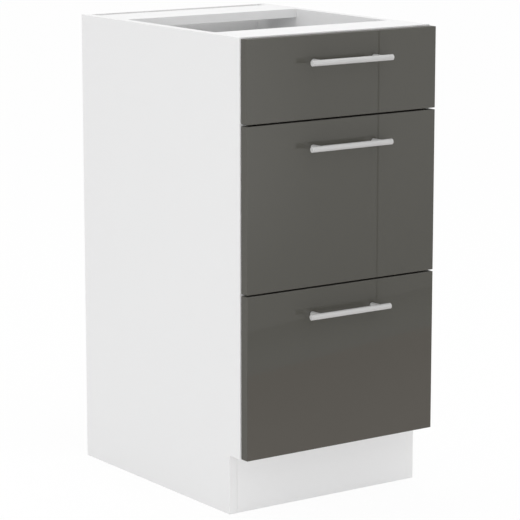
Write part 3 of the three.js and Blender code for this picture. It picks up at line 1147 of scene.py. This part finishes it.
@dataclass
class Handle:
    """The round rail handle of one front: a bar of the real one's length on two posts."""

    level: Level
    length: float = 169 * MM
    bar_steps: int = 64
    post_steps: int = 40
    end_round: float = 0.5 * MM
    foot_round: float = 0.5 * MM
    sink: float = 1.5 * MM

    def build(self) -> None:
        """Turns the bar and both posts."""
        self.bar()
        for hand in Hand:
            self.post(hand)

    def bar(self) -> None:
        """Turns the bar, with its ends rounded."""
        node = self.level.node("handle_bar")
        low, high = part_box(node)
        half = self.length / 2
        corner = rounded_corner((high.y - low.y) / 2, half, -1, self.end_round, range(0, 91, 15))
        upper = [(0.0, half), *corner]
        profile = [*upper, *((r, -h) for r, h in reversed(upper))]
        self.turn(node, profile, self.bar_steps, pose_at((low + high) / 2, Axis.X.direction))

    def post(self, hand: Hand) -> None:
        """Turns one post, which ends inside the bar.

        Args:
            hand: which end of the bar it carries.
        """
        node = self.level.node("handle_post", hand)
        low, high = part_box(node)
        _, bar_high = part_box(self.level.node("handle_bar"))
        radius = (high.x - low.x) / 2
        reach = high.y - bar_high.y + self.sink
        corner = rounded_corner(radius, 0.0, 1, self.foot_round, (0, 30, 60, 90))
        profile = [(0.0, 0.0), *corner, (radius, reach), (0.0, reach)]
        centre = (low + high) / 2
        foot = pose_at((centre.x, high.y, centre.z), -Axis.Y.direction)
        self.turn(node, profile, self.post_steps, foot)

    def turn(self, node: str, profile: Outline, steps: int, pose: Matrix) -> None:
        """Turns one part of the handle and puts it on its drawer.

        Args:
            node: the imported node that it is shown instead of.
            profile: its (radius, height) points.
            steps: how many flats make its round.
            pose: where it goes.
        """
        piece = Workpiece()
        piece.turned(profile, steps, pose)
        piece.shade(narrower_than=4 * MM, crease=40.0)
        piece.ride("turned_" + node, self.level.body, NICKEL, [node])


@dataclass
class DrawerFront:
    """The gloss front of one drawer, with its handle's screws and its closing pads."""

    level: Level
    edge_round: float = 1.0 * MM
    steps: int = 4
    screw_radius: float = 4.0 * MM
    screw_height: float = 2.0 * MM
    pad_radius: float = 4.0 * MM
    pad_height: float = 1.4 * MM
    pad_inset: float = 25 * MM
    pad_line: float = 192 * MM
    pad_steps: int = 20

    def build(self) -> None:
        """Builds the front and everything on it."""
        node = self.level.node("drawer_front")
        low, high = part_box(node)
        panel = Workpiece()
        panel.block(low, high, self.edge_round, self.steps)
        panel.shade(narrower_than=2 * MM)
        panel.ride("foiled_" + node, self.level.body, FOIL, [node])
        Handle(self.level).build()
        self.handle_screws(high.y)
        self.pads(low, high)

    def handle_screws(self, back: float) -> None:
        """Adds the heads of the two screws that hold the handle.

        Args:
            back: where the front's back face is, along Y.
        """
        piece = Workpiece()
        for hand in Hand:
            low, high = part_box(self.level.node("handle_post", hand))
            centre = (low + high) / 2
            head = pose_at((centre.x, back, centre.z), Axis.Y.direction)
            piece.cross_head(self.screw_radius, self.screw_height, head)
        piece.ride_as_heads(self.level.node("handle_screws"), self.level.body)

    def pads(self, low: Vector, high: Vector) -> None:
        """Adds the four pads that meet the carcass when the drawer closes.

        Args:
            low: the front's lowest corner.
            high: its highest corner.
        """
        piece = Workpiece()
        radius, height = self.pad_radius, self.pad_height
        profile = [(0.0, 0.0), (radius, 0.0), (radius, 0.5 * height), (0.85 * radius, 0.85 * height)]
        profile += [(0.6 * radius, height), (0.0, height)]
        for x in (-self.pad_line, self.pad_line):
            for z in (low.z + self.pad_inset, high.z - self.pad_inset):
                piece.turned(profile, self.pad_steps, pose_at((x, high.y, z), Axis.Y.direction))
        piece.shade(narrower_than=3 * MM, crease=60.0)
        piece.ride(self.level.node("front_pads"), self.level.body, PAD)


@dataclass
class DrawerBox:
    """The box behind one front: two boards, two bent steel sides, brackets and screws."""

    level: Level
    steel: float = SHEET
    head_radius: float = 3.5 * MM
    head_height: float = 1.2 * MM
    back_screw_inset: float = 8 * MM
    floor_screw_inset: float = 9 * MM
    floor_stations: tuple[float, ...] = (50 * MM, 222 * MM, 402 * MM)
    bracket_levels: tuple[float, float] = (0.25, 0.75)
    leg_share: float = 0.65
    plate_share: float = 0.6
    high_back_levels: tuple[float, float] = (0.38, 0.88)
    low_back_levels: tuple[float, float] = (0.52, 0.94)

    def build(self) -> None:
        """Builds the box."""
        floor, back = self.level.node("drawer_floor"), self.level.node("drawer_back")
        dress(floor, LaminatedBoard.of(floor, Axis.Z))
        dress(back, LaminatedBoard.of(back, Axis.Y))
        heads = Workpiece()
        for hand in Hand:
            bend(self.level.node("drawer_side", hand), self.level.body, COAT)
            bend(self.level.node("front_bracket", hand), self.level.body, ZINC)
            self.bracket_heads(heads, hand)
            self.back_heads(heads, hand)
            self.floor_heads(heads, hand)
            Roller(self.level.node("drawer_roller", hand)).build()
        heads.ride_as_heads(self.level.node("box_screws"), self.level.body)

    def head(self, piece: Workpiece, place: Point, direction: Vector) -> None:
        """Adds one screw's head to the mesh, at a place and along a direction."""
        piece.cross_head(self.head_radius, self.head_height, pose_at(place, direction))

    def bracket_heads(self, piece: Workpiece, hand: Hand) -> None:
        """Adds the screws of a bracket, over the holes in both of its legs.

        Args:
            piece: the screws' mesh.
            hand: which side.
        """
        low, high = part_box(self.level.node("front_bracket", hand))
        size = high - low
        outer = hand.outer(low, high)
        for share in self.bracket_levels:
            z = low.z + share * size.z
            leg = (outer + hand.inwards * self.steel, low.y + self.leg_share * size.y, z)
            self.head(piece, leg, hand.inwards * Axis.X.direction)
            plate = (outer + hand.inwards * self.plate_share * size.x, low.y + self.steel, z)
            self.head(piece, plate, Axis.Y.direction)

    def back_heads(self, piece: Workpiece, hand: Hand) -> None:
        """Adds the screws that go through a steel side into the back board.

        Args:
            piece: the screws' mesh.
            hand: which side.
        """
        low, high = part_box(self.level.node("drawer_back"))
        face = hand.outer(low, high) - hand.inwards * self.steel
        shares = self.low_back_levels if self.level is Level.UPPER else self.high_back_levels
        for share in shares:
            place = (face, high.y - self.back_screw_inset, low.z + share * (high.z - low.z))
            self.head(piece, place, -hand.inwards * Axis.X.direction)

    def floor_heads(self, piece: Workpiece, hand: Hand) -> None:
        """Adds the screws that hold the floor to the steel flange under it.

        Args:
            piece: the screws' mesh.
            hand: which side.
        """
        low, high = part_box(self.level.node("drawer_floor"))
        x = hand.outer(low, high) + hand.inwards * self.floor_screw_inset
        for station in self.floor_stations:
            self.head(piece, (x, low.y + station, low.z - self.steel), -Axis.Z.direction)


# ------------------------------------------------------------------ stage


@dataclass(frozen=True)
class PaleFloor(Finish):
    """A pale floor that the eye sees as white, with darker zones that only gloss mirrors."""

    colour: Colour = (0.97, 0.97, 0.97)
    white: float = 0.93
    zones_start: tuple[float, float] = (-0.26, -0.34)
    far_strip: Colour = (0.27, 0.27, 0.27)
    near_strip: Colour = (0.40, 0.40, 0.40)
    strip_middle: Line = ((0.636, -1.33, 0.0), (1.3225, -1.509, 0.0))
    strip_blend: float = 0.12
    far_wood: Colour = (0.41, 0.32, 0.30)
    near_wood: Colour = (0.61, 0.50, 0.47)
    wood_middle: Line = ((0.393, -0.795, 0.0), (1.029, -0.963, 0.0))
    wood_blend: float = 0.32
    wood_end: Line = ((0.393, -1.095, 0.0), (1.029, -1.263, 0.0))
    wood_end_blend: float = 0.005

    def paint(self, tree: ShaderTree) -> None:
        """White for the eye, the mirrored zones, and a plain floor that takes the shadow.

        Args:
            tree: the empty tree.
        """
        wood_far = self.beyond(tree, self.wood_middle, self.wood_blend)
        wood = tree.blend(wood_far, self.near_wood, self.far_wood)
        strip_far = self.beyond(tree, self.strip_middle, self.strip_blend)
        strip = tree.blend(strip_far, self.near_strip, self.far_strip)
        zone = tree.blend(self.beyond(tree, self.wood_end, self.wood_end_blend), wood, strip)
        ahead = tree.part_of(tree.place(), Axis.Y).rise(*self.zones_start)
        mirrored = tree.blend(ahead * tree.ray("Is Glossy Ray"), (1.0, 1.0, 1.0), zone)
        lit = tree.node("ShaderNodeBsdfDiffuse", {"Color": (*self.colour, 1.0)}).outputs[0]
        tree.show(tree.mixed(tree.seen_plainly(self.white), lit, tree.glow(mirrored, 1.0)))

    @staticmethod
    def beyond(tree: ShaderTree, line: Line, width: float) -> Signal:
        """How far the floor point lies past a line, away from the cabinet, as a soft step.

        Args:
            tree: the floor's tree.
            line: two points of the line.
            width: how far the step reaches to either side of it.

        Returns:
            The step, from 0 to 1.
        """
        start, end = Vector(line[0]), Vector(line[1])
        along = (end - start).normalized()
        away = Vector((along.y, -along.x, 0.0))
        offset = start.dot(away)
        return tree.along(tree.place(), away).rise(offset - width, offset + width)


@dataclass(frozen=True)
class SeamedWall(Finish):
    """A wall of light with one thin dark seam, brighter higher up and past its left end."""

    foot: Line = ((0.636, -1.445, 0.0), (1.3225, -1.624, 0.0))
    seam: Point = (1.102, -1.567, 0.0)
    seam_half: float = 2.4 * MM
    seam_soft: float = 1 * MM
    seam_level: float = 0.1
    level: float = 0.40
    lift: float = 0.20
    lift_height: float = 0.45
    left_level: float = 0.10
    left_lift: float = 0.32
    left_heights: tuple[float, float] = (0.06, 0.36)
    left_ends: tuple[float, float] = (0.3, -0.25)

    @property
    def along(self) -> Vector:
        """The direction in which the wall runs."""
        return (Vector(self.foot[1]) - Vector(self.foot[0])).normalized()

    def paint(self, tree: ShaderTree) -> None:
        """The wall's level, higher up, past the left end and in the seam.

        Args:
            tree: the empty tree.
        """
        run = tree.along(tree.place(), self.along)
        offset = abs(run - Vector(self.seam).dot(self.along))
        open_wall = offset.rise(self.seam_half, self.seam_half + self.seam_soft)
        height = tree.part_of(tree.place(), Axis.Z)
        first = Vector(self.foot[0]).dot(self.along)
        left = run.rise(*(first + end for end in self.left_ends))
        plain = self.level + self.lift * height.rise(0.0, self.lift_height)
        extra = self.left_level + self.left_lift * height.rise(*self.left_heights)
        dimmed = self.seam_level + (1 - self.seam_level) * open_wall
        tree.show(tree.glow((1.0, 1.0, 1.0), (plain + left * extra) * dimmed))


@dataclass(frozen=True)
class Softbox:
    """A square lamp: its name, where it hangs, its side and its power in watts."""

    name: str
    place: Point
    size: float
    power: float


@dataclass
class Studio:
    """The pale floor, the plain soft light, what the gloss fronts mirror, and the camera."""

    camera_place: Point = (-2.50325, -3.55948, 1.23438)
    yaw: float = 35.114
    pitch: float = 10.969
    lens: float = 171.47
    sensor: float = 36.0
    clip: tuple[float, float] = (0.1, 100.0)
    world_level: float = 0.785
    world_tilt: Point = (-0.05, 0.07, 0.18)
    floor_half: float = 12.0
    wall_half: tuple[float, float] = (6.0, 1.6)
    lamp_target: Point = (0.0, 0.0, 0.41)
    lamps: tuple[Softbox, ...] = (
        Softbox("overhead_softbox", (0.0, -0.1, 3.2), 2.0, 16.0),
        Softbox("side_softbox", (-3.0, -1.2, 1.6), 2.0, 5.0),
        Softbox("front_softbox", (-0.4, -3.4, 0.45), 1.2, 14.0),
    )

    def build(self) -> None:
        """Sets the stage."""
        bpy.context.scene.view_settings.view_transform = "Standard"
        self.world()
        self.stage_piece("studio_floor", Matrix.Scale(self.floor_half, 4), PaleFloor("pale_floor", None))
        self.wall()
        for lamp in self.lamps:
            self.hang(lamp)
        self.camera()

    def world(self) -> None:
        """White all round for the eye, and a soft sky that is brighter above for the light."""
        scene = bpy.context.scene
        scene.world = bpy.data.worlds.new("studio_world")
        tree = ShaderTree(scene.world)
        way = tree.node("ShaderNodeTexCoord").outputs["Generated"]
        level = self.world_level * (1 + tree.along(way, self.world_tilt))
        white = (1.0, 1.0, 1.0, 1.0)
        light, shown = (
            tree.node("ShaderNodeBackground", {"Color": white, "Strength": strength}).outputs[0]
            for strength in (level, 1.0)
        )
        tree.show(tree.mixed(tree.seen_plainly(1.0), light, shown), "ShaderNodeOutputWorld")

    def wall(self) -> None:
        """A white wall beside the camera, with one thin seam, that only gloss mirrors."""
        finish = SeamedWall("seamed_wall", None)
        half_width, half_height = self.wall_half
        turn = Matrix.Rotation(math.atan2(finish.along.y, finish.along.x), 4, "Z")
        upright = Matrix.Rotation(math.pi / 2, 4, "X")
        size = Matrix.Diagonal((half_width, half_height, 1.0, 1.0))
        middle = Matrix.Translation(Vector(finish.foot[0]) + half_height * Axis.Z.direction)
        wall = self.stage_piece("mirrored_wall", middle @ turn @ upright @ size, finish)
        wall.visible_camera = False
        wall.visible_diffuse = False
        wall.visible_shadow = False
        wall.visible_transmission = False

    @staticmethod
    def stage_piece(name: str, pose: Matrix, finish: Finish) -> bpy.types.Object:
        """Makes a flat sheet that isn't part of the cabinet.

        Args:
            name: its name.
            pose: what turns a sheet from -1 to 1 into it.
            finish: its surface.

        Returns:
            The sheet's object.
        """
        bm = bmesh.new()
        bmesh.ops.create_grid(bm, x_segments=1, y_segments=1, size=1.0)
        bmesh.ops.transform(bm, matrix=pose, verts=bm.verts[:])
        mesh = bpy.data.meshes.new(name)
        bm.to_mesh(mesh)
        bm.free()
        mesh.materials.append(finish.material())
        made = bpy.data.objects.new(name, mesh)
        bpy.context.scene.collection.objects.link(made)
        return made

    def hang(self, lamp: Softbox) -> None:
        """Hangs a softbox that looks at the middle of the cabinet.

        Args:
            lamp: the softbox.
        """
        light = bpy.data.lights.new(lamp.name, "AREA")
        light.size = lamp.size
        light.energy = lamp.power
        way = Vector(self.lamp_target) - Vector(lamp.place)
        hung = self.aimed(lamp.name, light, lamp.place, way)
        hung.visible_camera = False
        hung.visible_glossy = False

    def camera(self) -> None:
        """Sets the camera where the photograph's was."""
        data = bpy.data.cameras.new("picture_camera")
        data.sensor_width = self.sensor
        data.lens = self.lens
        data.clip_start, data.clip_end = self.clip
        yaw, pitch = math.radians(self.yaw), math.radians(self.pitch)
        level = math.cos(pitch)
        way = Vector((math.sin(yaw) * level, math.cos(yaw) * level, -math.sin(pitch)))
        camera = self.aimed("picture_camera", data, self.camera_place, way)
        bpy.context.scene.camera = camera

    @staticmethod
    def aimed(
        name: str, data: Union[bpy.types.Light, bpy.types.Camera], place: Point, way: Vector
    ) -> bpy.types.Object:
        """Puts a lamp or a camera in its place.

        Args:
            name: its name.
            data: the lamp or the camera.
            place: where it goes.
            way: where it looks.

        Returns:
            Its object.
        """
        made = bpy.data.objects.new(name, data)
        made.location = place
        made.rotation_mode = "QUATERNION"
        made.rotation_quaternion = way.to_track_quat("-Z", "Y")
        bpy.context.scene.collection.objects.link(made)
        return made


def main() -> None:
    """Builds the cabinet from the floor up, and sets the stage."""
    logging.basicConfig(level=logging.INFO, format="%(name)s: %(message)s")
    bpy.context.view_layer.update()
    Studio().build()
    Carcass().build()
    for level in Level:
        RunnerPair(level).build()
        DrawerFront(level).build()
        DrawerBox(level).build()
    LOG.info("sizes written")


if __name__ == "__main__":
    main()
